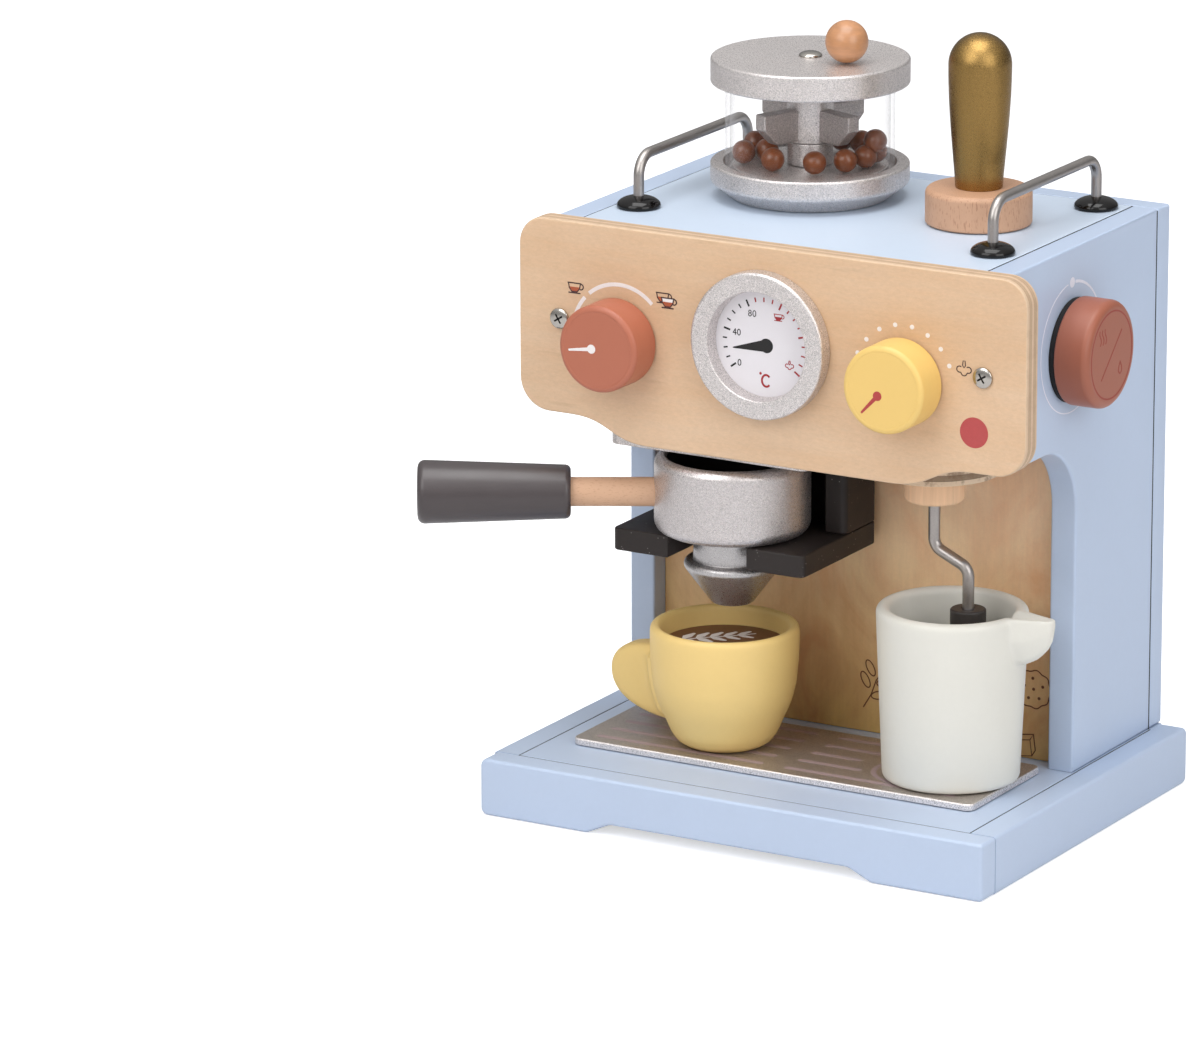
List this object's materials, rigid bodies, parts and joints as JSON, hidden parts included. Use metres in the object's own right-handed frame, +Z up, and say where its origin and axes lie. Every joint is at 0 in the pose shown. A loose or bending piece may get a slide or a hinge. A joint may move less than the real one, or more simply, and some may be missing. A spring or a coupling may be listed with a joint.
{
  "type": "toy coffee maker",
  "caption": "Wooden toy espresso machine with turning knobs, a swinging portafilter, a steam wand, a bean grinder, a tamper, a cup and a milk jug.",
  "frame": {"origin": "middle of the whole set's footprint, on the surface that the base stands on", "axes": "+Z up, -Y towards the front panel with the gauge, +X to the machine's right side seen from the front"},
  "size_m": [0.2814, 0.2002, 0.3351],
  "materials": {
    "blue_paint": "satin pale blue paint on board",
    "plywood": "clear matt lacquer on birch plywood",
    "beech": "sanded beech",
    "silver_paint": "silver sparkle paint on wood",
    "steel_rod": "satin",
    "bright_steel": "bright plating",
    "dark_paint": "dark grey paint with fine specks",
    "black_gloss": "high gloss",
    "terracotta": "satin paint",
    "yellow_paint": "satin paint",
    "white_paint": "satin paint",
    "gold_paint": "metallic gold lacquer",
    "clear_plastic": "clear",
    "coffee_brown": "printed disc",
    "bead_brown": "varnish",
    "dial_white": "printed card"
  },
  "bodies": {
    "chassis": {"base_front_board": "blue_paint", "base_left_board": "blue_paint", "base_right_board": "blue_paint", "base_back_board": "blue_paint", "base_deck": "blue_paint", "drip_tray": "silver_paint", "left_side_panel": "blue_paint", "right_side_panel": "blue_paint", "back_panel": "blue_paint", "top_panel": "blue_paint", "head_floor": "blue_paint", "splash_back": "plywood", "front_panel": "plywood", "left_panel_screw": "bright_steel", "right_panel_screw": "bright_steel", "gauge_ring": "silver_paint", "gauge_dial": "dial_white", "head_plate": "silver_paint", "group_block": "dark_paint", "group_fork": "dark_paint", "wand_mount": "plywood", "wand_collar": "beech", "left_rail": "steel_rod", "right_rail": "steel_rod", "left_rail_front_foot": "black_gloss", "left_rail_back_foot": "black_gloss", "right_rail_front_foot": "black_gloss", "right_rail_back_foot": "black_gloss", "grinder_base": "silver_paint", "grinder_boss": "silver_paint", "grinder_jar": "clear_plastic", "bead_1": "bead_brown", "bead_2": "bead_brown", "bead_3": "bead_brown", "bead_4": "bead_brown", "bead_5": "bead_brown", "bead_6": "bead_brown", "bead_7": "bead_brown", "bead_8": "bead_brown"},
    "left_knob": {"left_knob": "terracotta", "left_knob_screw": "bright_steel"},
    "right_knob": {"right_knob": "yellow_paint", "right_knob_screw": "bright_steel"},
    "side_knob": {"side_knob": "terracotta", "side_knob_screw": "bright_steel"},
    "spout": {"portafilter_spout": "silver_paint"},
    "portafilter": {"portafilter_bowl": "silver_paint", "portafilter_dowel": "beech", "portafilter_grip": "dark_paint"},
    "wand": {"wand_rod": "steel_rod", "wand_tip": "dark_paint"},
    "grinder_rotor": {"grinder_lid": "silver_paint", "grinder_cap_screw": "bright_steel", "grinder_crank_ball": "beech", "grinder_blades": "silver_paint"},
    "tamper": {"tamper_base": "beech", "tamper_handle": "gold_paint"},
    "cup": {"cup": "yellow_paint", "coffee_disc": "coffee_brown"},
    "jug": {"jug": "white_paint"}
  },
  "joints": [
    {"name": "left_knob_turn", "type": "hinge", "parent": "chassis", "child": "left_knob", "pos_m": [-0.05682, -0.0637, 0.2059], "axis": [0, -1, 0], "continuous": true},
    {"name": "right_knob_turn", "type": "hinge", "parent": "chassis", "child": "right_knob", "pos_m": [0.07752, -0.0637, 0.2059], "axis": [0, -1, 0], "continuous": true},
    {"name": "side_knob_turn", "type": "hinge", "parent": "chassis", "child": "side_knob", "pos_m": [0.133, 0.01063, 0.2103], "axis": [1, 0, 0], "continuous": true},
    {"name": "portafilter_slide", "type": "slide", "parent": "chassis", "child": "spout", "axis": [0, -1, 0], "range_m": [0, 0.07]},
    {"name": "portafilter_turn", "type": "hinge", "parent": "spout", "child": "portafilter", "pos_m": [-0.01979, -0.02287, 0.1214], "axis": [0, 0, 1], "range_deg": [-30, 60]},
    {"name": "wand_turn", "type": "hinge", "parent": "chassis", "child": "wand", "pos_m": [0.07171, -0.01387, 0.15], "axis": [0, 0, 1], "range_deg": [-80, 20]},
    {"name": "grinder_turn", "type": "hinge", "parent": "chassis", "child": "grinder_rotor", "pos_m": [-0.01676, 0.03813, 0.3], "axis": [0, 0, 1], "continuous": true},
    {"name": "tamper_lift", "type": "slide", "parent": "chassis", "child": "tamper", "axis": [0, 0, 1], "range_m": [0, 0.06]},
    {"name": "cup_slide", "type": "slide", "parent": "chassis", "child": "cup", "axis": [0, -1, 0], "range_m": [0, 0.04]},
    {"name": "jug_lift", "type": "slide", "parent": "chassis", "child": "jug", "axis": [0, 0, 1], "range_m": [0, 0.03]}
  ]
}
